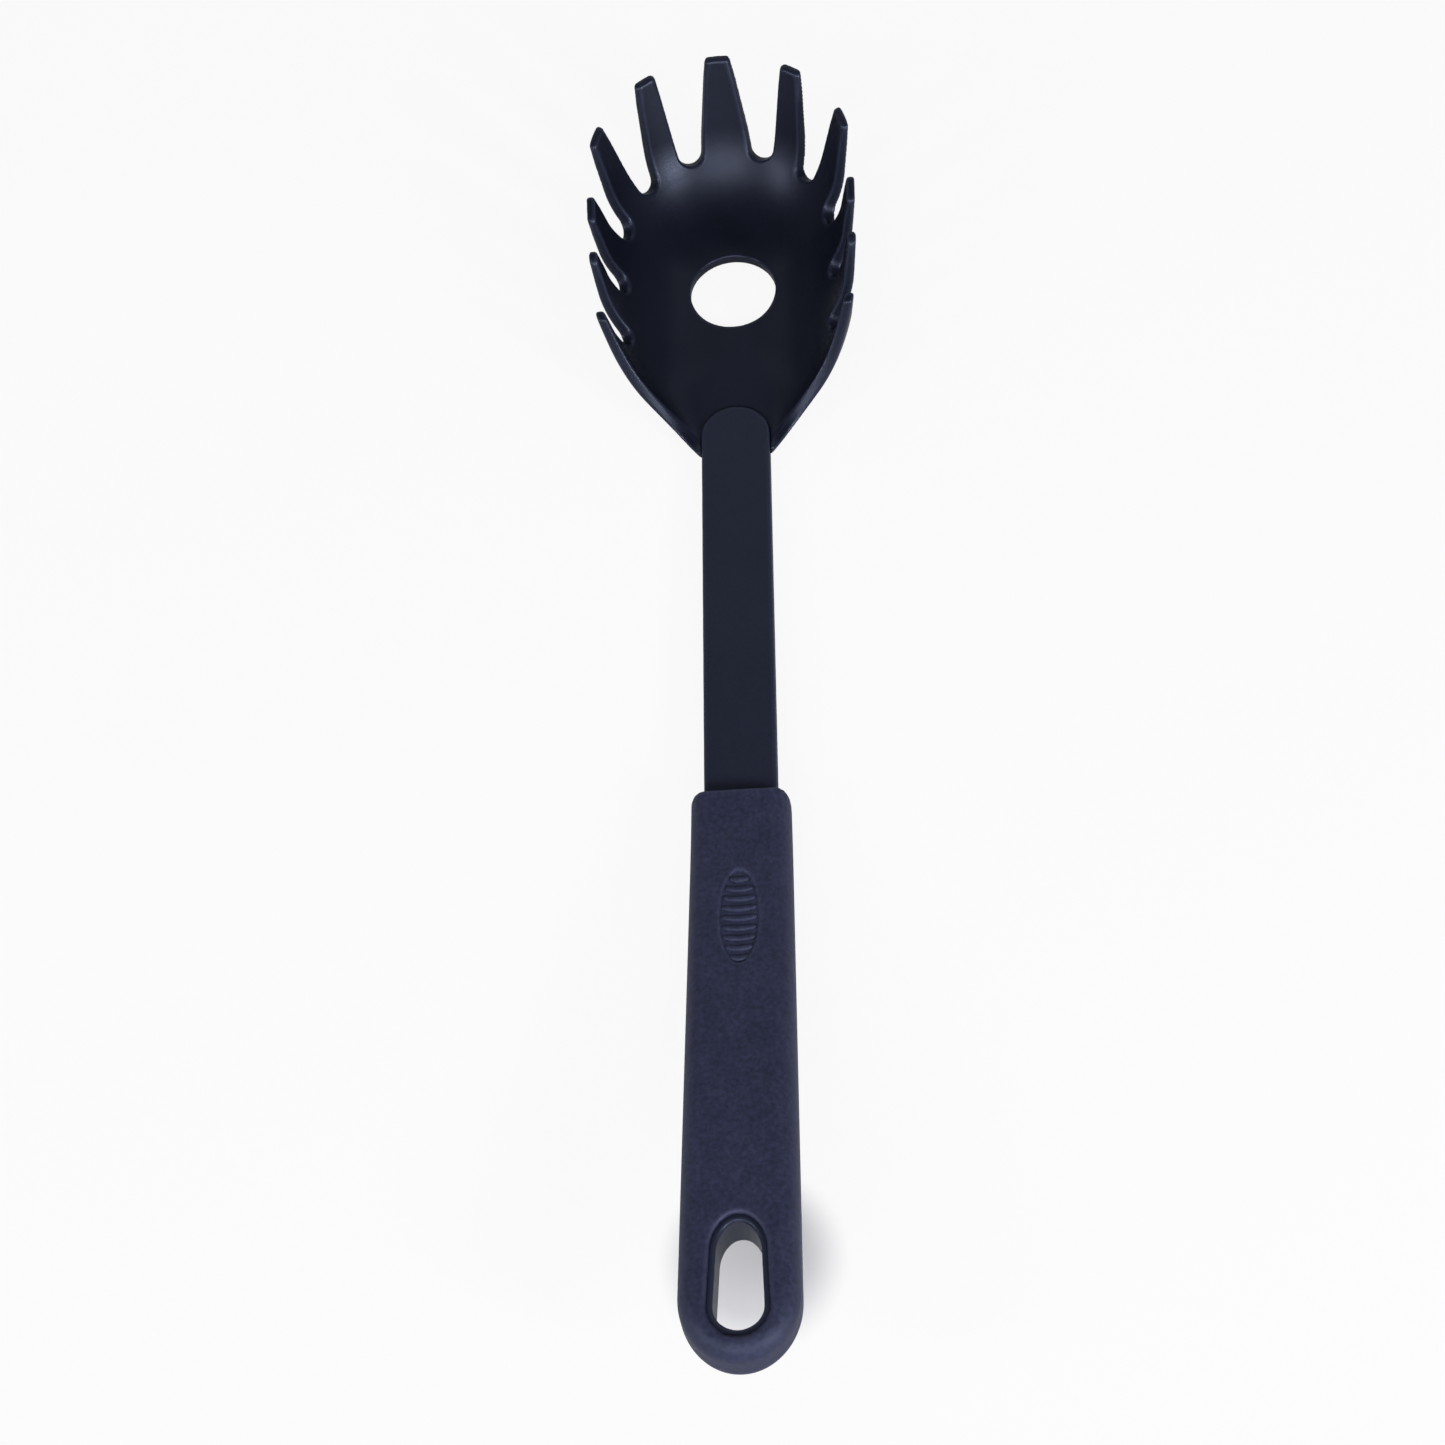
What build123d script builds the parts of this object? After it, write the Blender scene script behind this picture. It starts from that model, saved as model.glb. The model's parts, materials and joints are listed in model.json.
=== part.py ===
from build123d import *
import os
from math import acos, cos, pi, radians, sin, tan

# A nylon pasta server: toothed bowl, stiff flat stem that runs on as the core of the grip, and a sleeve grip.
# Row frame: +Y runs from the butt of the grip to the front tooth, +Z points out of the bowl,
# X = 0 is the plane of symmetry and Z = 0 is the table that the server lies on.
# Bowl sizes called "ahead" are measured from the neck along Y, and grip sizes called
# "back" are measured from the mouth along the middle of the grip. Millimetres and degrees.

# Stations along the whole server
neck_y = 67.64  # rear end of the bowl, where the stem enters it
mouth_y = neck_y - 96.0  # front end of the grip

# Bowl
bowl_wall = 3.0  # thickness of the floor and lower wall
tooth_taper = 0.4  # share of that thickness which the wall loses between these two heights
taper_heights = (12.0, 36.0)
bowl_half_width = 29.3  # half width of the straight wall, carried down to the table
bowl_front = 82.7  # front of the straight wall, carried down to the table, ahead
side_lean = 7.5  # from upright
front_lean = 25.4  # from upright
side_round = 26.6  # outer radius between the floor and the wall, at the sides
front_round = 34.0  # and at the front
rear_corner = 21.5  # where the side turns towards the neck, ahead
rear_corner_round = 29.3
neck_half_width = 9.3
neck_spread = 0.16  # share of the wall's outset that the neck takes
wall_top = 42.0  # the wall is drawn to here, above every tooth, and cut back
drain_radius = 11.1
drain_ahead = 49.8

# Side view of the rim: low at the neck, up the rear tooth, then forward along the tips
rim_at_neck = (0.0, 3.8)
rim_rise = ((12.0, 8.0), (19.5, 17.4))
rear_tip = (25.6, 27.4)
middle_tip = (62.0, 35.0)
front_tip = (110.0, 35.4)

# Gaps between the eleven teeth, five on each side, from the front to the rear.
# A travel is a distance along the bowl's outline from the middle of its front.
gap_root_travels = (10.1, 24.9, 40.3, 58.9, 73.5)
gap_root_heights = (12.1, 12.2, 12.0, 12.7, 11.6)
gap_root_radii = (3.4, 3.1, 3.5, 3.0, 2.8)
gap_mouth_travels = (10.6, 31.4, 53.2, 71.0, 83.6)
gap_mouth_height = 36.0
gap_top_half_widths = (7.8, 8.6, 8.6, 4.2, 7.7)
gap_length = 34.0
gap_reach = 9.0  # how far each cut runs to either side of the wall

# Stem, which is also the core of the grip
stem_width = 17.2
stem_thickness = 4.4
stem_slope = 2.2  # rises towards the grip
stem_edge_round = 0.9
mouth_middle_z = 5.98  # height of the stem's middle at the mouth
tongue_reach = 13.3  # the stem's round end on the bowl's floor, ahead
tongue_floor = 1.2  # bowl floor left under the tongue
tang_half_width = 5.5
tang_shoulder = 4.0  # full stem width runs into the grip this far

# Grip
grip_length = 141.5
grip_slope = 11.5  # rises towards the butt
grip_bend_length = 24.0  # back
grip_thickness = 12.4
mouth_half_width = 11.5
mouth_corner = 3.0
butt_half_width = 12.7
butt_length = 14.6  # length of the half ellipse that ends the grip
grip_edge_round = 4.2

# Hanging slot and the eyelet of the core that lines it
slot_front = 110.1  # back
slot_end = 136.4  # back
slot_nose_length = 8.4
slot_nose_half_width = 6.0
slot_end_half_width = 6.5
eyelet_ledge = 1.0  # stands inside the slot
eyelet_cover = 1.6  # is buried outside the slot
eyelet_half_height = 4.0

# Thumb pad on the front face: a sunk oval crossed by ribs
pad_back = 37.0
pad_half_length = 12.4
pad_half_width = 4.4
pad_depth = 0.7
rib_count = 9
rib_pitch = 2.75
rib_radius = 0.95

# Worked-out values
slope = radians(stem_slope)
bend = radians(grip_slope)
half_stem = stem_thickness / 2
half_grip = grip_thickness / 2
bend_radius = grip_bend_length / (bend - slope)
bend_centre = (mouth_y + bend_radius * sin(slope), mouth_middle_z + bend_radius * cos(slope))
tongue_y = neck_y + tongue_reach
tongue_top = mouth_middle_z + half_stem - (tongue_y - mouth_y) * tan(slope)
stem_underside_at_neck = mouth_middle_z - half_stem - (neck_y - mouth_y) * tan(slope)


def bent_point(height, angle, run=0.0):
    # Side view of the grip's bend: a point this high above the middle, at this slope,
    # and then a straight run on towards the butt.
    radius = bend_radius - height
    y = bend_centre[0] - radius * sin(angle) - run * cos(angle)
    z = bend_centre[1] - radius * cos(angle) + run * sin(angle)
    return (y, z)


# The grip plane lies on the middle of the grip's straight part. Its +Y runs towards the mouth
# and its +Z comes out of the front face.
bend_end = bent_point(0, bend)
grip_plane = Plane(origin=(0, bend_end[0], bend_end[1]), x_dir=(1, 0, 0), z_dir=(0, sin(bend), cos(bend)))


def back(distance):
    # local Y in the grip plane of a distance back from the mouth
    return grip_bend_length - distance


def outset(rise, lean, radius):
    # how far the wall stands outside its foot at a height above the floor, on a rounded foot
    sweep = radians(90 - lean)
    if rise < radius * (1 - cos(sweep)):
        return radius * sin(acos(1 - rise / radius)) - radius * tan(sweep / 2)
    return rise * tan(radians(lean))


def inner_shift(inset, lean):
    # the inner wall's foot lies this far inside the outer one
    return inset * (1 - sin(radians(lean))) / cos(radians(lean))


def bowl_values(height, inset):
    # half width, front and front centre of the bowl's outline; inset is 0 outside, bowl_wall inside
    rise = height - inset
    low, high = taper_heights
    thinned = inset * tooth_taper * min(max((height - low) / (high - low), 0), 1)
    half, nose = [
        foot - inner_shift(inset, lean) + outset(rise, lean, radius - inset) + thinned / cos(radians(lean))
        for foot, lean, radius in (
            (bowl_half_width, side_lean, side_round),
            (bowl_front, front_lean, front_round),
        )
    ]
    return half, neck_y + nose, neck_y + nose - half


def bowl_section(height, inset):
    half, nose_y, centre_y = bowl_values(height, inset)
    rear_y = neck_y - 6
    corner_y = neck_y + rear_corner
    neck = neck_half_width - 0.6 * inset + min(neck_spread * (half - bowl_half_width), 1.0)
    with BuildSketch(Plane.XY.offset(height)) as section:
        with BuildLine():
            Polyline((0, rear_y), (neck, rear_y), (neck, neck_y), (half, corner_y), (half, centre_y))
            CenterArc((0, centre_y), half, 0, 90)
            Line((0, nose_y), (0, rear_y))
        make_face()
        corner = section.vertices().sort_by_distance((half, corner_y, height))[0]
        fillet(corner, radius=rear_corner_round)
        mirror(about=Plane.YZ)
    return section.sketch


def bowl_sections(inset):
    # the rounded foot takes eight sections, and the wall above it three more
    radius = side_round - inset
    foot = [inset + radius * (1 - cos(radians(angle))) for angle in (0, 10, 20, 30, 40, 50, 60, 71)]
    return [bowl_section(height, inset) for height in foot + [24.0, taper_heights[1], wall_top + inset]]


def outline_point(height, travel):
    # a point on the bowl's outer outline, and the outward direction there
    half, nose_y, centre_y = bowl_values(height, 0)
    if travel < half * pi / 2:
        angle = travel / half
        point = Vector(half * sin(angle), centre_y + half * cos(angle), height)
        return point, Vector(sin(angle), cos(angle), 0)
    return Vector(half, centre_y - (travel - half * pi / 2), height), Vector(1, 0, 0)


def gap_plane(root_height, root_travel, mouth_travel, side):
    # a plane across one gap: its Y runs up the gap and its Z runs through the wall
    root, root_out = outline_point(root_height, root_travel)
    mouth, mouth_out = outline_point(gap_mouth_height, mouth_travel)
    rise = mouth - root
    across = rise.cross(root_out + mouth_out)
    mirrored_across = Vector(across.X, side * across.Y, side * across.Z)
    mirrored_rise = Vector(side * rise.X, rise.Y, rise.Z)
    origin = Vector(side * root.X, root.Y, root.Z)
    return Plane(origin=origin, x_dir=mirrored_across, z_dir=mirrored_across.cross(mirrored_rise))


def slot_outline(margin):
    # outline of the hanging slot in the grip plane, grown by a margin
    nose_y = back(slot_front) + margin
    shoulder_y = back(slot_front + slot_nose_length)
    end_y = back(slot_end) - margin
    nose_half = slot_nose_half_width + margin
    end_half = slot_end_half_width + margin
    with BuildSketch(grip_plane) as outline:
        with BuildLine():
            EllipticalCenterArc((0, shoulder_y), nose_half, nose_y - shoulder_y, start_angle=0, arc_size=90)
            Line((nose_half, shoulder_y), (end_half, end_y + end_half))
            CenterArc((0, end_y + end_half), end_half, 270, 90)
            Line((0, end_y), (0, nose_y))
        make_face()
        mirror(about=Plane.YZ)
    return outline.sketch


slot_opening = slot_outline(0)
eyelet_outside = slot_outline(eyelet_cover)
eyelet_inside = slot_outline(-eyelet_ledge)

# Stem, tang and eyelet
with BuildPart() as stem_core:
    tang_run = slot_front - eyelet_cover + 0.6 - grip_bend_length
    with BuildSketch(Plane.YZ):
        with BuildLine():
            Polyline(bent_point(-half_stem, slope), (neck_y, stem_underside_at_neck), (neck_y, tongue_floor))
            Polyline((neck_y, tongue_floor), (tongue_y, tongue_floor), (tongue_y, tongue_top), bent_point(half_stem, slope))
            CenterArc(bend_centre, bend_radius - half_stem, 270 - stem_slope, stem_slope - grip_slope)
            Line(bent_point(half_stem, bend), bent_point(half_stem, bend, tang_run))
            Line(bent_point(half_stem, bend, tang_run), bent_point(-half_stem, bend, tang_run))
            Line(bent_point(-half_stem, bend, tang_run), bent_point(-half_stem, bend))
            CenterArc(bend_centre, bend_radius + half_stem, 270 - grip_slope, grip_slope - stem_slope)
        make_face()
    extrude(amount=stem_width, both=True)
    with BuildSketch(Plane.XY.offset(-20)):
        half_width = stem_width / 2
        shoulder_y = mouth_y - tang_shoulder
        tang_y = mouth_y - grip_length
        with BuildLine():
            Polyline((0, tang_y), (tang_half_width, tang_y), (tang_half_width, shoulder_y))
            Polyline((tang_half_width, shoulder_y), (half_width, shoulder_y), (half_width, tongue_y - half_width))
            CenterArc((0, tongue_y - half_width), half_width, 0, 90)
            Line((0, tongue_y), (0, tang_y))
        make_face()
        mirror(about=Plane.YZ)
    extrude(amount=80, mode=Mode.INTERSECT)
    flats = stem_core.faces().filter_by(lambda face: abs(face.normal_at(face.center()).Z) > 0.99)
    top_and_underside = flats.sort_by(SortBy.AREA)[-2:]
    rims = [
        edge
        for edge in top_and_underside.edges()
        if abs(edge.center().X) > half_width - 0.5 or edge.center().Y > neck_y + 3
    ]
    fillet(rims, radius=stem_edge_round)
    extrude(eyelet_outside, amount=eyelet_half_height, both=True)
    extrude(eyelet_inside, amount=2 * eyelet_half_height, both=True, mode=Mode.SUBTRACT)

# Bowl with its teeth
with BuildPart() as bowl_outside:
    loft(bowl_sections(0), ruled=True)

with BuildPart() as bowl_inside:
    loft(bowl_sections(bowl_wall), ruled=True)

with BuildPart() as server_head:
    add(bowl_outside.part)
    add(bowl_inside.part, mode=Mode.SUBTRACT)
    with BuildSketch(Plane.YZ):
        neck_rim, low_rim, high_rim, rear, middle, front = [
            (neck_y + ahead, height)
            for ahead, height in (rim_at_neck, *rim_rise, rear_tip, middle_tip, front_tip)
        ]
        with BuildLine():
            Polyline(neck_rim, (neck_y, -1), (front[0], -1), front)
            ThreePointArc(front, middle, rear)
            Spline(rear, high_rim, low_rim, neck_rim)
        make_face()
    extrude(amount=2 * bowl_half_width, both=True, mode=Mode.INTERSECT)
    for root_travel, root_height, root_radius, mouth_travel, top_half_width in zip(
        gap_root_travels, gap_root_heights, gap_root_radii, gap_mouth_travels, gap_top_half_widths
    ):
        for side in (1, -1):
            with BuildSketch(gap_plane(root_height, root_travel, mouth_travel, side)):
                with Locations((0, root_radius)):
                    Circle(root_radius)
                with Locations((0, gap_length)):
                    Rectangle(2 * top_half_width, 0.5)
                make_hull()
            extrude(amount=gap_reach, both=True, mode=Mode.SUBTRACT)
    with Locations((0, neck_y + drain_ahead, 0)):
        Cylinder(drain_radius, 4 * bowl_wall, mode=Mode.SUBTRACT)
    add(stem_core.part, mode=Mode.SUBTRACT)

# Ribs of the thumb pad, trimmed to the oval
with BuildPart() as pad_ribs:
    with BuildSketch(grip_plane.offset(half_grip - pad_depth - 0.5)):
        with Locations((0, back(pad_back))):
            Ellipse(pad_half_width - 0.1, pad_half_length - 0.1)
    extrude(amount=3)
    with BuildPart(grip_plane.offset(half_grip - pad_depth), mode=Mode.INTERSECT):
        with Locations((0, back(pad_back), 0)):
            with GridLocations(1, rib_pitch, 1, rib_count):
                Cylinder(rib_radius, 4 * pad_half_width, rotation=(0, 90, 0))

# Grip
with BuildPart() as handle_grip:
    with BuildSketch(Plane.YZ):
        grip_run = grip_length - grip_bend_length + 5
        with BuildLine():
            Line(bent_point(-half_grip, slope), bent_point(half_grip, slope))
            CenterArc(bend_centre, bend_radius - half_grip, 270 - stem_slope, stem_slope - grip_slope)
            Line(bent_point(half_grip, bend), bent_point(half_grip, bend, grip_run))
            Line(bent_point(half_grip, bend, grip_run), bent_point(-half_grip, bend, grip_run))
            Line(bent_point(-half_grip, bend, grip_run), bent_point(-half_grip, bend))
            CenterArc(bend_centre, bend_radius + half_grip, 270 - grip_slope, grip_slope - stem_slope)
        make_face()
    extrude(amount=2 * butt_half_width, both=True)
    with BuildSketch(grip_plane):
        butt_y = back(grip_length - butt_length)
        front_y = back(-5)
        with BuildLine():
            Polyline((0, front_y), (mouth_half_width, front_y), (butt_half_width, butt_y))
            EllipticalCenterArc((0, butt_y), butt_half_width, butt_length, start_angle=270, arc_size=90)
            Line((0, butt_y - butt_length), (0, front_y))
        make_face()
        mirror(about=Plane.YZ)
    extrude(amount=grip_length, both=True, mode=Mode.INTERSECT)
    mouth_uprights = handle_grip.edges().filter_by(
        lambda edge: abs(edge.center().Y - mouth_y) < 2 and abs((edge @ 0).X - (edge @ 1).X) < 0.1
    )
    fillet(mouth_uprights, radius=mouth_corner)
    fillet(handle_grip.edges().filter_by(lambda edge: edge.center().Y < mouth_y - 3), radius=grip_edge_round)
    extrude(slot_opening, amount=2 * half_grip, both=True, mode=Mode.SUBTRACT)
    with BuildSketch(grip_plane.offset(half_grip - pad_depth)):
        with Locations((0, back(pad_back))):
            Ellipse(pad_half_width, pad_half_length)
    extrude(amount=4, mode=Mode.SUBTRACT)
    add(pad_ribs.part)
    add(stem_core.part, mode=Mode.SUBTRACT)

os.makedirs("parts", exist_ok=True)
server_head.part.label = "server_head"
stem_core.part.label = "stem_core"
handle_grip.part.label = "handle_grip"
for piece in (server_head.part, stem_core.part, handle_grip.part):
    export_step(piece, f"parts/{piece.label}.step")
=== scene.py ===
import json
import math

import bmesh
import bpy
import numpy as np
import openvdb
from mathutils import Matrix, Vector

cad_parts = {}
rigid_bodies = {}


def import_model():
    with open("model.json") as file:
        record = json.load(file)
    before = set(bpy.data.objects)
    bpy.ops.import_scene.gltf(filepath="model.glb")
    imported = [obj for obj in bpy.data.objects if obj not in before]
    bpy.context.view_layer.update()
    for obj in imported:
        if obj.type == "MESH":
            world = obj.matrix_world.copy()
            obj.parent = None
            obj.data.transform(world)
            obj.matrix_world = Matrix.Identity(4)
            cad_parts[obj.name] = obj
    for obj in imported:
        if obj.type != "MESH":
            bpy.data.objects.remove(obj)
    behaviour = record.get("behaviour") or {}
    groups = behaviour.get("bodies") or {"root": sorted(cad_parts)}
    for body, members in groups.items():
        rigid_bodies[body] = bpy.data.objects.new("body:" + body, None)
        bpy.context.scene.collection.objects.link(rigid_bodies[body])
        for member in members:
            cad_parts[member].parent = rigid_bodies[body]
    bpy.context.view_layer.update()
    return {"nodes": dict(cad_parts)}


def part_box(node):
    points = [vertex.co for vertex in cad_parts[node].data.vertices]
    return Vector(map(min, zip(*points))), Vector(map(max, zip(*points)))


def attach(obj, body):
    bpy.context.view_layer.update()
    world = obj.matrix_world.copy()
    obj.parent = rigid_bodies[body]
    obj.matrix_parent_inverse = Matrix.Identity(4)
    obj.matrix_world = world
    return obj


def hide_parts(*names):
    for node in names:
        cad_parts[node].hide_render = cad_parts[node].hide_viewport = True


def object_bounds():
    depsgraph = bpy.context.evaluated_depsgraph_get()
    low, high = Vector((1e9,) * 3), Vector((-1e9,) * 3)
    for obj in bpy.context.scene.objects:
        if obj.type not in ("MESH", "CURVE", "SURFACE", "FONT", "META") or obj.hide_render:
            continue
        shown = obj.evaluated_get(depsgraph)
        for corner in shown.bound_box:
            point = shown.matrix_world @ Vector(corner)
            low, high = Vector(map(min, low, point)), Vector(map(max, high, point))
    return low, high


# A nylon pasta server on a white table: toothed bowl, flat stem and a grained sleeve grip.
# Sizes in the dictionaries are millimetres and degrees; meshes are made in metres, where the CAD has them.

for thing in list(bpy.data.objects):
    bpy.data.objects.remove(thing)
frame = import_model()
mm = 0.001
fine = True
print("frame loaded:", ", ".join(sorted(frame["nodes"])))

headLow, headHigh = (np.array(corner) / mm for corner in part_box("server_head"))
stemLow, stemHigh = (np.array(corner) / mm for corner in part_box("stem_core"))
gripLow, gripHigh = (np.array(corner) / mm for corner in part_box("handle_grip"))
neckY = headLow[1]  # rear end of the bowl, where the stem enters it


def roundMeet(a, b, radius, together=0.0):
    # inside both distances, with a rounded edge; together is the dot product of their outward normals
    aOut, bOut = a + radius, b + radius
    apart = 1 - together * together
    inCorner = (aOut > together * bOut) & (bOut > together * aOut)
    arc = np.sqrt(np.maximum(aOut * aOut + bOut * bOut - 2 * together * aOut * bOut, 0) / apart)
    return np.where(inCorner, arc, np.maximum(aOut, bOut)) - radius


def roundCut(body, tool, radius):
    return roundMeet(body, -tool, radius)


def blend(value, low, high):
    return np.clip((value - low) / (high - low), 0, 1)


def easeInOut(value):
    return value * value * (3 - 2 * value)


def ellipseField(across, along, halfAcross, halfAlong, middle):
    # about the distance to an ellipse; near its centre that fails, so a fixed depth stands in
    ratio = np.sqrt((across / halfAcross) ** 2 + (along / halfAlong) ** 2)
    steep = np.sqrt((across / halfAcross ** 2) ** 2 + (along / halfAlong ** 2) ** 2)
    return np.where(ratio < 0.3, -middle, (ratio - 1) * ratio / np.maximum(steep, 1e-4))


def gradientAt(field, spots, reach):
    slopes = []
    for axis in range(3):
        ahead, behind = spots.copy(), spots.copy()
        ahead[:, axis] += reach
        behind[:, axis] -= reach
        slopes.append((field(*ahead.T) - field(*behind.T)) / (2 * reach))
    return np.stack(slopes, axis=1)


def edgeAmount(field, spots, reach=0.35):
    # curvature of the surface, 0 on a flat face and 1 on a small outside rounding
    around = -6 * field(*spots.T)
    for axis in range(3):
        for way in (-reach, reach):
            moved = spots.copy()
            moved[:, axis] += way
            around = around + field(*moved.T)
    return np.clip(around / reach ** 2 / 1.6, 0, 1)


def solidFromField(name, field, low, high, step):
    # a closed mesh where the field is zero, with its points then moved on to the surface exactly
    starts = np.array(low) - 3 * step
    axes = [np.arange(starts[i], high[i] + 3 * step, step) for i in range(3)]
    x, y, z = np.meshgrid(*axes, indexing="ij", sparse=True)
    values = np.clip(field(x, y, z), -3 * step, 3 * step)
    grid = openvdb.FloatGrid(3 * step)
    grid.copyFromArray(values.astype(np.float32))
    points, quads = grid.convertToQuads(0.0)
    spots = np.array(points, float) * step + starts
    for turn in range(3):
        value = field(*spots.T)
        slope = gradientAt(field, spots, 0.05)
        square = np.maximum((slope ** 2).sum(axis=1), 0.2)
        spots -= np.clip(value / square, -step / 2, step / 2)[:, None] * slope
    mesh = bpy.data.meshes.new(name)
    mesh.from_pydata((spots * mm).tolist(), [], np.array(quads)[:, ::-1].tolist())
    # curvature at each point; the shaders use it for edge polish and for edge colour that is part wear, part
    # painted edge highlight
    edgeWearAndHighlightAmount = mesh.attributes.new("edge", "FLOAT", "POINT")
    edgeWearAndHighlightAmount.data.foreach_set("value", edgeAmount(field, spots).astype(np.float32))
    work = bmesh.new()
    work.from_mesh(mesh)
    if work.calc_volume(signed=True) < 0:
        bmesh.ops.reverse_faces(work, faces=work.faces)
    work.to_mesh(mesh)
    work.free()
    mesh.shade_smooth()
    solid = bpy.data.objects.new(name, mesh)
    bpy.context.collection.objects.link(solid)
    print(f"{name}: {len(quads)} faces")
    return solid


# side view of the stem and grip
line = {
    "mouthAhead": -96.0,  # of the neck
    "mouthHeight": 5.98,
    "stemSlope": 2.2,
    "gripSlope": 11.5,
    "bendLength": 24.0,
}
mouthY = neckY + line["mouthAhead"]
stemSlope, gripSlope = math.radians(line["stemSlope"]), math.radians(line["gripSlope"])
bendRadius = line["bendLength"] / (gripSlope - stemSlope)
bendY = mouthY + bendRadius * math.sin(stemSlope)
bendZ = line["mouthHeight"] + bendRadius * math.cos(stemSlope)
bendEnd = (bendY - bendRadius * math.sin(gripSlope), bendZ - bendRadius * math.cos(gripSlope))


def alongGrip(y, z):
    # distance back from the mouth, and height over the middle line: straight, bent and straight again
    turn = np.arctan2(bendY - y, bendZ - z)
    straightBack = (mouthY - y) * math.cos(stemSlope) + (z - line["mouthHeight"]) * math.sin(stemSlope)
    straightHigh = (y - mouthY) * math.sin(stemSlope) + (z - line["mouthHeight"]) * math.cos(stemSlope)
    forward, upward = y - bendEnd[0], z - bendEnd[1]
    gripBack = line["bendLength"] - forward * math.cos(gripSlope) + upward * math.sin(gripSlope)
    gripOver = forward * math.sin(gripSlope) + upward * math.cos(gripSlope)
    bentBack, bentHigh = bendRadius * (turn - stemSlope), bendRadius - np.hypot(y - bendY, z - bendZ)
    back = np.where(turn < stemSlope, straightBack, np.where(turn > gripSlope, gripBack, bentBack))
    high = np.where(turn < stemSlope, straightHigh, np.where(turn > gripSlope, gripOver, bentHigh))
    return back, high


bowl = {
    "wall": 3.0,
    "neckWall": 1.9,
    "toothTaper": 0.33,  # share of the wall's thickness lost between these two heights
    "taperHeights": (12.0, 36.0),
    "halfWidth": 29.3,
    "front": 82.7,
    "sideLean": 7.5,
    "frontLean": 25.4,
    "sideRound": 26.6,
    "frontRound": 34.0,
    "neckFootRound": 2.3,
    "innerRoundLeast": 1.2,
    "neckBlend": 34.0,  # the round foot has grown to its full size here
    "rearCorner": 21.5,
    "rearCornerRound": 29.3,
    "neckHalfWidth": 9.3,
    "neckSpread": 0.16,  # share of the wall's outset that the neck takes
    "neckEndRound": 0.45,
    "rimLow": ((0.0, 3.8), (12.0, 8.0), (19.5, 17.4), (25.6, 27.4)),
    "rimHigh": ((25.6, 27.4), (62.0, 35.0), (110.0, 35.4)),
    "rimRound": 0.6,
    "gapRootTravels": (10.1, 24.9, 40.3, 58.9, 73.5),
    "gapRootHeights": (12.1, 12.2, 12.0, 12.7, 11.6),
    "gapRootRadii": (3.4, 3.1, 3.5, 3.0, 2.8),
    "gapMouthTravels": (10.6, 31.4, 53.2, 71.0, 83.6),
    "gapMouthHeight": 36.0,
    "gapTopHalfWidths": (7.8, 8.6, 8.6, 4.2, 7.7),
    "gapLength": 33.75,
    "gapRound": 0.6,
    "tipRound": 1.2,
    "holeRadius": 11.1,
    "holeAhead": 49.8,
    "holeRound": 0.45,
    "step": 0.47 if fine else 0.94,
}
sideTan, frontTan = math.tan(math.radians(bowl["sideLean"])), math.tan(math.radians(bowl["frontLean"]))
lowCurve = np.polyfit(*np.array(bowl["rimLow"]).T, 3)
highCurve = np.polyfit(*np.array(bowl["rimHigh"]).T, 2)


def bowlWall(x, y, z):
    # distance to the sharp-footed outside of the bowl, the sine of its lean and how far the place faces front
    ahead = y - neckY
    half = bowl["halfWidth"] + z * sideTan
    past = np.maximum(ahead - (bowl["front"] + z * frontTan - half), 0)
    radial = np.hypot(x, past)
    facing = past / np.maximum(radial, 1e-6)
    lean = sideTan + (frontTan - sideTan) * facing
    neckHalf = bowl["neckHalfWidth"] + np.minimum(bowl["neckSpread"] * z * sideTan, 1.0)
    spread = half - neckHalf
    length = np.hypot(spread, bowl["rearCorner"])
    taper = ((np.abs(x) - neckHalf) * bowl["rearCorner"] - ahead * spread) / length
    outline = roundMeet(radial - half, taper, bowl["rearCornerRound"], bowl["rearCorner"] / length)
    upright = 1 / np.sqrt(1 + lean * lean)
    return outline * upright, lean * upright, facing


def outlinePoint(height, travel):
    # a point on the bowl's outline this far round from the middle of its front, and the outward direction
    out = []
    for lean, radius in ((bowl["sideLean"], bowl["sideRound"]), (bowl["frontLean"], bowl["frontRound"])):
        sweep = math.radians(90 - lean)
        full = height * math.tan(math.radians(lean))
        if height < radius * (1 - math.cos(sweep)):
            out.append(radius * math.sin(math.acos(1 - height / radius)) - radius * math.tan(sweep / 2))
        else:
            out.append(full)
    half, nose = bowl["halfWidth"] + out[0], bowl["front"] + out[1]
    centreY = neckY + nose - half
    if travel < half * math.pi / 2:
        angle = travel / half
        outward = Vector((math.sin(angle), math.cos(angle), 0))
        return Vector((half * outward.x, centreY + half * outward.y, height)), outward
    return Vector((half, centreY - travel + half * math.pi / 2, height)), Vector((1, 0, 0))


gapSizes = ("gapRootTravels", "gapRootHeights", "gapRootRadii", "gapMouthTravels", "gapTopHalfWidths")
gaps = []
for rootTravel, rootHeight, rootRadius, mouthTravel, topHalf in zip(*(bowl[key] for key in gapSizes)):
    root, rootOut = outlinePoint(rootHeight, rootTravel)
    mouth, mouthOut = outlinePoint(bowl["gapMouthHeight"], mouthTravel)
    rise = (mouth - root).normalized()
    across = rise.cross(rootOut + mouthOut).normalized()
    run = bowl["gapLength"] - rootRadius
    flare = math.acos(rootRadius / math.hypot(topHalf, run)) - math.atan2(run, topHalf)
    gaps.append((root, rise, across, flare, rootRadius))


def gapField(x, y, z, gap):
    # a slit with a round root whose sides open upwards; both sides of the bowl at once
    root, rise, across, flare, rootRadius = gap
    dx, dy, dz = np.abs(x) - root.x, y - root.y, z - root.z
    along = dx * rise.x + dy * rise.y + dz * rise.z - rootRadius
    aside = np.abs(dx * across.x + dy * across.y + dz * across.z)
    straight = aside * math.cos(flare) - along * math.sin(flare)
    belowSide = aside * math.sin(flare) + along * math.cos(flare) < 0
    return np.where(belowSide, np.hypot(aside, along), straight) - rootRadius


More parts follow.
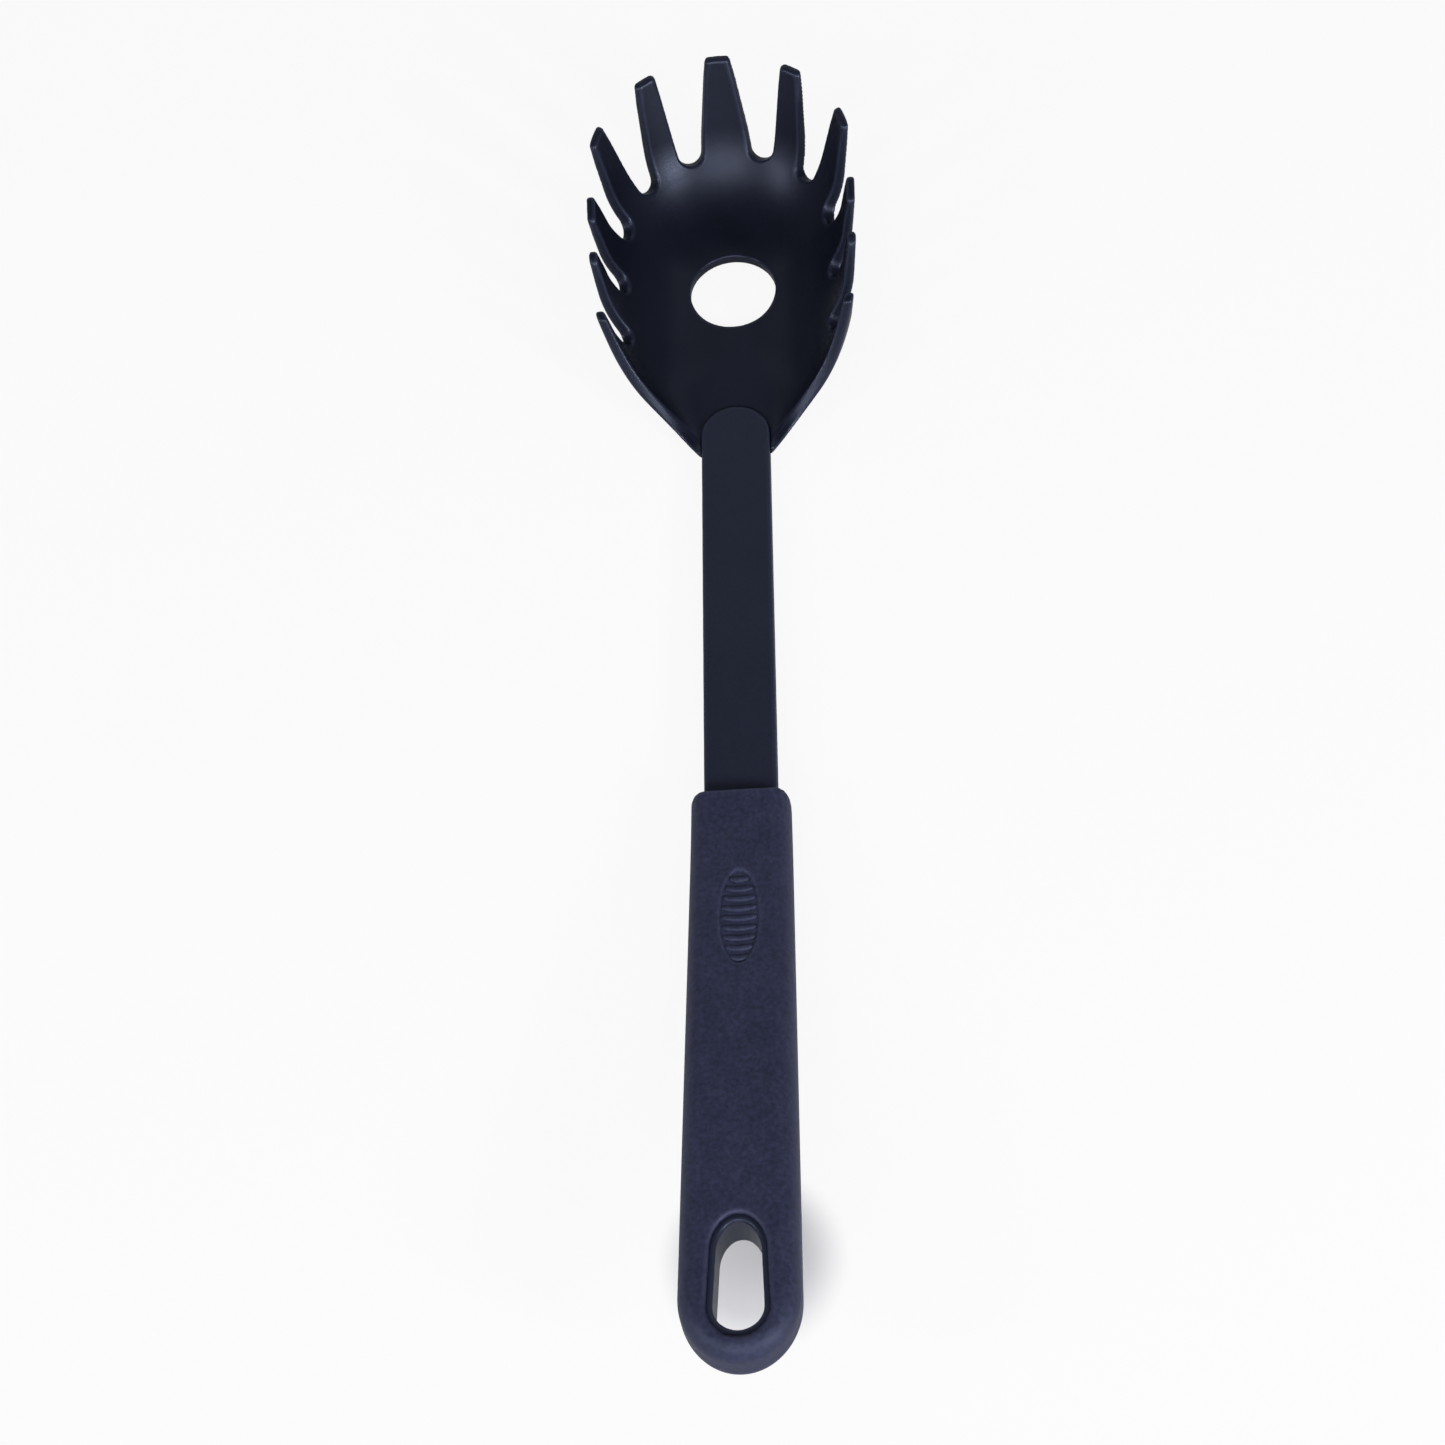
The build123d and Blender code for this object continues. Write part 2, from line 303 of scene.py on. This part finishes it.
def bowlField(x, y, z):
    ahead = y - neckY
    atNeck = easeInOut(blend(ahead, -4, bowl["neckBlend"]))
    side, lean, facing = bowlWall(x, y, z)
    footRound = bowl["sideRound"] + (bowl["frontRound"] - bowl["sideRound"]) * facing
    footRound = bowl["neckFootRound"] + (footRound - bowl["neckFootRound"]) * atNeck
    wall = bowl["neckWall"] + (bowl["wall"] - bowl["neckWall"]) * atNeck
    wall = wall * (1 - bowl["toothTaper"] * blend(z, *bowl["taperHeights"]))
    outside = roundMeet(side, -z + 0 * x, footRound, lean)
    innerRound = np.maximum(footRound - bowl["wall"], bowl["innerRoundLeast"])
    inside = roundMeet(side + wall, bowl["wall"] - z + 0 * x, innerRound, lean)
    shell = np.maximum(outside, -inside)
    low = ahead < bowl["rimLow"][-1][0]
    rimHeight = np.where(low, np.polyval(lowCurve, ahead), np.polyval(highCurve, ahead))
    lowSlope, highSlope = (np.polyval(np.polyder(curve), ahead) for curve in (lowCurve, highCurve))
    rimSlope = np.where(low, lowSlope, highSlope)
    shell = roundMeet(shell, (z - rimHeight) / np.sqrt(1 + rimSlope ** 2) + 0 * x, bowl["rimRound"])
    atTip = blend(z, rimHeight - 5, rimHeight)
    gapRound = bowl["gapRound"] + (bowl["tipRound"] - bowl["gapRound"]) * atTip
    for gap in gaps:
        shell = roundCut(shell, gapField(x, y, z, gap), gapRound)
    hole = np.hypot(x, ahead - bowl["holeAhead"]) - bowl["holeRadius"] + 0 * z
    shell = roundCut(shell, hole, bowl["holeRound"])
    shell = roundMeet(shell, -ahead + 0 * x + 0 * z, bowl["neckEndRound"])
    return roundCut(shell, tongueField(x, y, z) - stem["seam"], stem["seatRound"])


# the stem's tang ends in the eyelet
stem = {
    "halfWidth": 8.6,
    "halfThickness": 2.2,
    "edgeRound": 0.9,
    "tongueRound": 0.4,
    "tongueReach": 13.3,
    "tongueFloor": 1.2,
    "tangShoulder": 4.0,
    "tangHalfWidth": 5.5,
    "tangEnd": 109.1,
    "seam": 0.07,
    "seatRound": 0.3,  # the edge of the bowl and of the grip around the stem
    "eyeletLedge": 1.25,
    "eyeletCover": 1.6,
    "eyeletHalfHeight": 4.7,
    "eyeletRound": 0.7,
    "step": 0.45 if fine else 0.9,
}
slot = {"front": 110.1, "end": 136.4, "noseLength": 8.4, "noseHalf": 6.0, "endHalf": 6.5}


def slotField(x, back):
    # hanging slot: a half-elliptic nose, sides that widen a little, and a round end
    shoulder, endCentre = slot["front"] + slot["noseLength"], slot["end"] - slot["endHalf"]
    wide = slot["noseHalf"] + (slot["endHalf"] - slot["noseHalf"]) * blend(back, shoulder, endCentre)
    up = np.maximum(shoulder - back, 0)
    nose = ellipseField(x, up, slot["noseHalf"], slot["noseLength"], 0.7 * slot["noseHalf"])
    rest = np.hypot(x, np.maximum(back - endCentre, 0)) - wide
    return np.where(back < shoulder, nose, rest)


def tongueField(x, y, z):
    # the bar with its round end, as it lies in the bowl
    high = alongGrip(y, z)[1]
    tongueY = neckY + stem["tongueReach"] - stem["halfWidth"]
    plan = np.hypot(x, np.maximum(y - tongueY, 0)) - stem["halfWidth"] + 0 * z
    under = np.where(y > neckY, stem["tongueFloor"] - z, -high - stem["halfThickness"])
    edgeRound = stem["edgeRound"] + (stem["tongueRound"] - stem["edgeRound"]) * blend(y, neckY - 1, neckY + 5)
    return roundMeet(plan, np.maximum(high - stem["halfThickness"], under), edgeRound)


def stemField(x, y, z):
    back, high = alongGrip(y, z)
    bar = tongueField(x, y, z)
    bar = np.maximum(bar, np.minimum(back - stem["tangShoulder"], np.abs(x) - stem["tangHalfWidth"]))
    bar = np.maximum(bar, back - stem["tangEnd"])
    hole = slotField(x, back)
    ring = np.maximum(hole - stem["eyeletCover"], -hole - stem["eyeletLedge"])
    return np.minimum(bar, roundMeet(ring, np.abs(high) - stem["eyeletHalfHeight"], stem["eyeletRound"]))


grip = {
    "length": 141.5,
    "halfThickness": 6.2,
    "mouthHalf": 11.5,
    "mouthCorner": 3.2,
    "mouthSlant": 2.1,  # the top of the mouth lies this far behind its foot
    "mouthRound": 0.45,
    "mouthUnderRound": 4.2,
    "buttHalf": 12.7,
    "buttLength": 14.6,
    "edgeRound": 4.2,
    "crown": 0.45,
    "slotRound": 0.8,
    "slotEndRound": 2.4,
    "stemRoom": 0.16,
    "step": 0.5 if fine else 1.0,
}
pad = {"back": 37.0, "halfLength": 12.4, "halfWidth": 4.4, "depth": 0.55, "round": 0.45, "floorRound": 0.25}


def gripField(x, y, z):
    back, high = alongGrip(y, z)
    buttBack = grip["length"] - grip["buttLength"]
    wide = grip["mouthHalf"] + (grip["buttHalf"] - grip["mouthHalf"]) * blend(back, 0, buttBack)
    past = np.maximum(back - buttBack, 0)
    butt = ellipseField(x, past, grip["buttHalf"], grip["buttLength"], 8.0)
    plan = np.where(back < buttBack, np.abs(x) - wide, butt)
    slab = np.abs(high) - grip["halfThickness"] + grip["crown"] * (x / grip["buttHalf"]) ** 2
    body = roundMeet(plan, slab, grip["edgeRound"])
    mouthCut = grip["mouthSlant"] * blend(high, -grip["halfThickness"], grip["halfThickness"]) - back
    upper = blend(high, -1.5, 0.5)
    mouthRound = grip["mouthUnderRound"] + (grip["mouthRound"] - grip["mouthUnderRound"]) * upper
    body = roundMeet(body, mouthCut + 0 * x, mouthRound)
    body = np.maximum(body, roundMeet(np.abs(x) - wide, mouthCut, grip["mouthCorner"]))
    atEnd = blend(back, slot["end"] - 12, slot["end"]) ** 2
    slotRound = grip["slotRound"] + (grip["slotEndRound"] - grip["slotRound"]) * atEnd
    body = roundCut(body, slotField(x, back), slotRound)
    oval = ellipseField(x, back - pad["back"], pad["halfWidth"], pad["halfLength"], 1.5)
    pocket = roundMeet(oval, grip["halfThickness"] - pad["depth"] - high, pad["floorRound"])
    body = roundCut(body, pocket, pad["round"])
    return roundCut(body, stemField(x, y, z) - grip["stemRoom"], stem["seatRound"])


serverBowl = solidFromField("serverBowl", bowlField, headLow, headHigh, bowl["step"])
stemBar = solidFromField("stemBar", stemField, stemLow, stemHigh, stem["step"])
gripSleeve = solidFromField("gripSleeve", gripField, gripLow, gripHigh, grip["step"])


class Wire:
    # a socket that takes part in sums
    def __init__(self, bench, socket):
        self.bench, self.socket = bench, socket

    def maths(self, operation, first, second):
        return self.bench.node("ShaderNodeMath", {"operation": operation}, {0: first, 1: second})

    def __add__(self, other):
        return self.maths("ADD", self, other)

    def __radd__(self, other):
        return self.maths("ADD", other, self)

    def __sub__(self, other):
        return self.maths("SUBTRACT", self, other)

    def __rsub__(self, other):
        return self.maths("SUBTRACT", other, self)

    def __mul__(self, other):
        return self.maths("MULTIPLY", self, other)

    def __rmul__(self, other):
        return self.maths("MULTIPLY", other, self)

    def __truediv__(self, other):
        return self.maths("DIVIDE", self, other)

    def __rtruediv__(self, other):
        return self.maths("DIVIDE", other, self)

    def __pow__(self, other):
        return self.maths("POWER", self, other)

    def __rpow__(self, other):
        return self.maths("POWER", other, self)


class Bench:
    # a node tree, and one method that makes any node in it
    def __init__(self, tree):
        self.tree = tree
        if tree.type == "SHADER":
            tree.nodes.clear()

    def node(self, kind, settings=None, sockets=None, output=0):
        made = self.tree.nodes.new(kind)
        for key, value in (settings or {}).items():
            setattr(made, key, value)
        for key, value in (sockets or {}).items():
            if isinstance(value, Wire):
                self.tree.links.new(value.socket, made.inputs[key])
            else:
                made.inputs[key].default_value = value
        return Wire(self, made.outputs[output]) if len(made.outputs) else made


def shaderBench(name):
    material = bpy.data.materials.new(name)
    material.use_nodes = True
    return material, Bench(material.node_tree)


def mixColour(bench, amount, first, second, way="MIX"):
    settings = {"data_type": "RGBA", "blend_type": way, "clamp_factor": True}
    return bench.node("ShaderNodeMix", settings, {0: amount, 6: first, 7: second}, 2)


def noise(bench, place, scale, detail=3.0, rough=0.5):
    sockets = {"Vector": place, "Scale": scale, "Detail": detail, "Roughness": rough}
    return bench.node("ShaderNodeTexNoise", {}, sockets)


def nylon(finish):
    # moulded nylon: cloudy colour, faint flow lines, fine grain, and edges that handling has polished;
    # sharply rounded edges are also painted lighter and bluer, part wear and part painted edge highlight
    material, bench = shaderBench(finish["name"])
    place = bench.node("ShaderNodeTexCoord", output=3)
    stretched = bench.node("ShaderNodeMapping", {}, {"Vector": place, "Scale": (1.0, 0.22, 1.0)})
    cloud = noise(bench, place, finish["cloudScale"], 2.0)
    flow = noise(bench, stretched, finish["flowScale"], 3.0, 0.6)
    grain = noise(bench, place, finish["grainScale"], 2.0, 0.55)
    pits = bench.node(
        "ShaderNodeTexVoronoi",
        {"feature": "SMOOTH_F1"},
        {"Vector": place, "Scale": finish["pitScale"], "Smoothness": 0.6},
    )
    edge = bench.node("ShaderNodeAttribute", {"attribute_name": "edge"}, {}, 2)
    # painted edge highlight: sharply rounded edges are mixed towards a lighter, bluer colour, partly wear and
    # partly painted highlight; their lower roughness is polish
    wornAndHighlitEdge = edge * (0.35 + 0.9 * flow)
    shade = mixColour(bench, cloud * 0.6 + flow * 0.4, finish["dark"], finish["light"])
    specks = (grain - 0.5) * finish["speckle"] + 0.5
    speckle = mixColour(bench, specks, (0.72, 0.72, 0.72, 1), (1.28, 1.28, 1.28, 1))
    shade = mixColour(bench, 1.0, shade, speckle, "MULTIPLY")
    shade = mixColour(bench, wornAndHighlitEdge * finish["edgeWearAndHighlightAmount"], shade, finish["wornAndHighlitEdge"])
    roughness = finish["roughness"] + (cloud - 0.5) * 0.10 + (grain - 0.5) * 0.14 - wornAndHighlitEdge * finish["polish"]
    height = grain * 0.6 + pits * 0.4 + flow * 0.15
    bump = bench.node(
        "ShaderNodeBump",
        {},
        {"Strength": finish["bumpStrength"], "Distance": finish["bumpDistance"], "Height": height},
    )
    shader = bench.node(
        "ShaderNodeBsdfPrincipled",
        {},
        {
            "Base Color": shade,
            "Roughness": roughness,
            "Normal": bump,
            "IOR": finish["ior"],
            "Specular Tint": finish["mirrorTint"],
        },
    )
    bench.node("ShaderNodeOutputMaterial", {}, {"Surface": shader})
    return material


bowlFinish = {
    "name": "bowlNylon",
    "dark": (0.0026, 0.0034, 0.0082, 1),
    "light": (0.0050, 0.0064, 0.0140, 1),
    # lighter, bluer colour of rounded edges: part wear, part painted edge highlight
    "wornAndHighlitEdge": (0.026, 0.031, 0.060, 1),
    "cloudScale": 55.0,
    "flowScale": 240.0,
    "grainScale": 1500.0,
    "pitScale": 900.0,
    "speckle": 0.9,
    "edgeWearAndHighlightAmount": 0.5,
    "polish": 0.08,
    "roughness": 0.40,
    "bumpStrength": 0.35,
    "bumpDistance": 0.00005,
    "ior": 1.46,
    "mirrorTint": (0.62, 0.70, 1.0, 1),
}
stemFinish = dict(
    bowlFinish,
    name="stemNylon",
    dark=(0.0072, 0.0094, 0.0190, 1),
    light=(0.0108, 0.0136, 0.0262, 1),
    roughness=0.46,
)
gripFinish = dict(
    bowlFinish,
    name="gripPlastic",
    dark=(0.0085, 0.0100, 0.0260, 1),
    light=(0.0250, 0.0270, 0.0590, 1),
    # lighter, bluer colour of rounded edges: part wear, part painted edge highlight
    wornAndHighlitEdge=(0.046, 0.052, 0.095, 1),
    cloudScale=150.0,
    flowScale=620.0,
    grainScale=1000.0,
    pitScale=600.0,
    roughness=0.56,
    bumpStrength=0.8,
    bumpDistance=0.00014,
    speckle=3.0,
)
bowlNylon, stemNylon, gripPlastic = (nylon(finish) for finish in (bowlFinish, stemFinish, gripFinish))
print("materials made")


# ribs of the thumb pad
ribs = {"count": 9, "pitch": 2.62, "radius": 0.8, "sink": 0.2, "smile": 0.75, "margin": 0.1}


def ribTree():
    tree = bpy.data.node_groups.new("thumbRibTree", "GeometryNodeTree")
    sockets = {}
    for name, kind, value in (
        ("Count", "NodeSocketInt", ribs["count"]),
        ("Pitch", "NodeSocketFloat", ribs["pitch"] * mm),
        ("Radius", "NodeSocketFloat", ribs["radius"] * mm),
        ("Smile", "NodeSocketFloat", ribs["smile"] * mm),
        ("Half Width", "NodeSocketFloat", (pad["halfWidth"] - ribs["margin"]) * mm),
        ("Half Length", "NodeSocketFloat", pad["halfLength"] * mm),
        ("Place", "NodeSocketVector", (0, 0, 0)),
        ("Tilt", "NodeSocketVector", (0, 0, 0)),
        ("Material", "NodeSocketMaterial", None),
    ):
        socket = tree.interface.new_socket(name, in_out="INPUT", socket_type=kind)
        if value is not None:
            socket.default_value = value
        sockets[name] = socket.identifier
    tree.interface.new_socket("Ribs", in_out="OUTPUT", socket_type="NodeSocketGeometry")
    bench = Bench(tree)
    given = tree.nodes.new("NodeGroupInput")
    take = {name: Wire(bench, given.outputs[name]) for name in sockets}
    index = bench.node("GeometryNodeInputIndex")
    places = (index - (take["Count"] - 1) * 0.5) * take["Pitch"]
    inRow = bench.node("ShaderNodeCombineXYZ", {}, {1: places})
    points = bench.node("GeometryNodePoints", {}, {"Count": take["Count"], "Position": inRow})
    across = places / take["Half Length"]
    width = take["Half Width"] * (1 - across * across) ** 0.5
    lowest = bench.node("ShaderNodeCombineXYZ", {}, {1: take["Smile"] * -2})
    arc = bench.node(
        "GeometryNodeCurveQuadraticBezier",
        {},
        {"Resolution": 24, "Start": (-1, 0, 0), "Middle": lowest, "End": (1, 0, 0)},
    )
    stretch = bench.node("ShaderNodeCombineXYZ", {}, {0: width, 1: 1.0, 2: 1.0})
    placed = bench.node(
        "GeometryNodeInstanceOnPoints",
        {},
        {"Points": points, "Instance": arc, "Scale": stretch},
    )
    curves = bench.node("GeometryNodeRealizeInstances", {}, {"Geometry": placed})
    along = bench.node("GeometryNodeSplineParameter", output=0) * 2 - 1
    taper = (1.0001 - along * along * along * along) ** 0.5
    curves = bench.node("GeometryNodeSetCurveRadius", {}, {"Curve": curves, "Radius": taper})
    ring = bench.node("GeometryNodeCurvePrimitiveCircle", {}, {"Resolution": 20, "Radius": take["Radius"]})
    tubes = bench.node(
        "GeometryNodeCurveToMesh",
        {},
        {"Curve": curves, "Profile Curve": ring, "Fill Caps": True, "Scale": taper},
    )
    tubes = bench.node(
        "GeometryNodeTransform",
        {},
        {"Geometry": tubes, "Translation": take["Place"], "Rotation": take["Tilt"]},
    )
    tubes = bench.node("GeometryNodeSetShadeSmooth", {}, {"Geometry": tubes})
    solid = bench.node("GeometryNodeRealizeInstances", {}, {"Geometry": tubes})
    shown = bench.node("GeometryNodeSetMaterial", {}, {"Geometry": solid, "Material": take["Material"]})
    bench.node("NodeGroupOutput", {}, {0: shown})
    return tree, sockets


def gripPoint(back, high):
    # a point over the straight part of the grip's middle line, in metres
    run = back - line["bendLength"]
    y = bendEnd[0] - run * math.cos(gripSlope) + high * math.sin(gripSlope)
    z = bendEnd[1] + run * math.sin(gripSlope) + high * math.cos(gripSlope)
    return Vector((0, y, z)) * mm


def fromNodes(name, tree, values):
    holder = bpy.data.objects.new(name, bpy.data.meshes.new(name + "Empty"))
    bpy.context.collection.objects.link(holder)
    modifier = holder.modifiers.new("nodes", "NODES")
    modifier.node_group = tree
    for identifier, value in values.items():
        modifier[identifier] = value
    holder.update_tag()
    bpy.context.view_layer.update()
    ready = holder.evaluated_get(bpy.context.evaluated_depsgraph_get())
    mesh = bpy.data.meshes.new_from_object(ready)
    mesh.name = name
    holder.modifiers.remove(modifier)
    holder.data = mesh
    print(f"{name}: {len(mesh.polygons)} faces")
    return holder


tree, sockets = ribTree()
thumbRibs = fromNodes(
    "thumbRibs",
    tree,
    {
        sockets["Place"]: gripPoint(pad["back"], grip["halfThickness"] - pad["depth"] - ribs["sink"]),
        sockets["Tilt"]: (-gripSlope, 0, 0),
        sockets["Material"]: gripPlastic,
    },
)

for piece, node, slotName, finish in (
    (serverBowl, "server_head", "bowl_nylon", bowlNylon),
    (stemBar, "stem_core", "stem_nylon", stemNylon),
    (gripSleeve, "handle_grip", "grip_plastic", gripPlastic),
    (thumbRibs, None, "grip_plastic", None),
):
    if finish:
        piece.data.materials.append(finish)
    if node:
        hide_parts(node)
    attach(piece, "root")
print("pieces ride on the frame")


# table and light
studio = {
    "floorColour": (0.56, 0.56, 0.58, 1),
    "floorGrain": (0.58, 0.58, 0.60, 1),
    "floorWhite": 0.90,  # how far the camera sees the floor as plain white
    "shade": (0.0, -0.137, 0.0),  # painted shade patch: within reach of here the camera sees the floor's own shading instead of the white, so the floor looks darker under the hanging slot
    "shadeReach": 0.022,
    "floorHalf": 6.0,
    "floorDrop": 0.0002,
    "ambient": 0.30,
    "horizon": 0.40,
    "ceiling": 0.02,
}
room = {
    "keyBox": {"turn": -4, "rise": 42, "far": 1.1, "size": (0.85, 0.40), "power": 7.4},
    "rightBox": {"turn": 54, "rise": 27, "far": 1.0, "size": (0.16, 0.20), "power": 6.0},
    "leftBox": {"turn": -66, "rise": 31, "far": 1.0, "size": (0.20, 0.24), "power": 2.6},
    "hairBox": {"turn": 180, "rise": 36, "far": 1.2, "size": (1.4, 0.35), "power": 1.6},
}
view = {
    "place": (0.0487, -0.2806, 0.5378),
    "right": (0.99429, -0.01375, -0.10586),
    "up": (0.06007, 0.89181, 0.44839),
    "lens": 63.14,
}

low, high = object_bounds()
middle = (low + high) / 2

floorMaterial, bench = shaderBench("whiteTable")
lightPath = bench.node("ShaderNodeLightPath")
seen = Wire(bench, lightPath.socket.node.outputs["Is Camera Ray"])
mottle = noise(bench, bench.node("ShaderNodeTexCoord", output=3), 9.0)
paper = mixColour(bench, mottle, studio["floorColour"], studio["floorGrain"])
place = bench.node("ShaderNodeTexCoord", output=3)
# painted shade: near studio shade the camera-ray white is left out, giving a darker floor patch under the
# hanging slot
away = bench.node("ShaderNodeVectorMath", {"operation": "DISTANCE"}, {0: place, 1: studio["shade"]}, 1)
whiteOutsidePaintedShade = bench.node(
    "ShaderNodeMapRange",
    {"interpolation_type": "SMOOTHSTEP"},
    {0: away, 1: studio["shadeReach"] / 2, 2: studio["shadeReach"], 3: 0.0, 4: studio["floorWhite"]},
)
matt = bench.node("ShaderNodeBsdfDiffuse", {}, {"Color": paper})
white = bench.node("ShaderNodeEmission", {}, {"Color": (1, 1, 1, 1), "Strength": 1.0})
both = bench.node("ShaderNodeMixShader", {}, {0: seen * whiteOutsidePaintedShade, 1: matt, 2: white})
bench.node("ShaderNodeOutputMaterial", {}, {"Surface": both})

floorMesh = bpy.data.meshes.new("table")
half, drop = studio["floorHalf"], studio["floorDrop"]
corners = [(x * half, y * half, -drop) for x, y in ((-1, -1), (1, -1), (1, 1), (-1, 1))]
floorMesh.from_pydata(corners, [], [(0, 1, 2, 3)])
floor = bpy.data.objects.new("table", floorMesh)
bpy.context.collection.objects.link(floor)
floorMesh.materials.append(floorMaterial)

world = bpy.data.worlds.new("studioWorld")
bpy.context.scene.world = world
world.use_nodes = True
bench = Bench(world.node_tree)
rays = bench.node("ShaderNodeLightPath").socket.node.outputs
seen, glossy = Wire(bench, rays["Is Camera Ray"]), Wire(bench, rays["Is Glossy Ray"])
through = Wire(bench, rays["Is Transmission Ray"])
height = bench.node("ShaderNodeSeparateXYZ", {}, {0: bench.node("ShaderNodeTexCoord", output=0)}, 2)
sky = bench.node(
    "ShaderNodeMapRange",
    {"interpolation_type": "SMOOTHSTEP"},
    {0: height, 1: 0.05, 2: 0.62, 3: studio["horizon"], 4: studio["ceiling"]},
)
mirrored = bench.node("ShaderNodeMath", {"operation": "MAXIMUM"}, {0: glossy, 1: through})
strength = studio["ambient"] * (1 - mirrored) + sky * mirrored
strength = strength * (1 - seen) + seen
backdrop = bench.node("ShaderNodeBackground", {}, {"Color": (0.97, 0.98, 1.0, 1), "Strength": strength})
bench.node("ShaderNodeOutputWorld", {}, {"Surface": backdrop})

for name, box in room.items():
    turn, rise = math.radians(box["turn"]), math.radians(box["rise"])
    towards = Vector((math.sin(turn) * math.cos(rise), -math.cos(turn) * math.cos(rise), math.sin(rise)))
    lamp = bpy.data.lights.new(name, "AREA")
    lamp.shape, (lamp.size, lamp.size_y), lamp.energy = "RECTANGLE", box["size"], box["power"]
    softBox = bpy.data.objects.new(name, lamp)
    softBox.location = middle + towards * box["far"]
    softBox.rotation_euler = towards.to_track_quat("Z", "Y").to_euler()
    bpy.context.collection.objects.link(softBox)

right, up = Vector(view["right"]).normalized(), Vector(view["up"])
up = (up - right * right.dot(up)).normalized()
lens = bpy.data.cameras.new("productCamera")
lens.lens, lens.sensor_width, lens.sensor_fit = view["lens"], 36.0, "HORIZONTAL"
lens.dof.use_dof = False
lens.clip_start, lens.clip_end = 0.01, 50.0
productCamera = bpy.data.objects.new("productCamera", lens)
bpy.context.collection.objects.link(productCamera)
facing = Matrix((right, up, right.cross(up))).transposed().to_4x4()
productCamera.matrix_world = Matrix.Translation(view["place"]) @ facing
bpy.context.scene.camera = productCamera
bpy.context.scene.view_settings.view_transform = "Standard"
print("table, light and camera set")
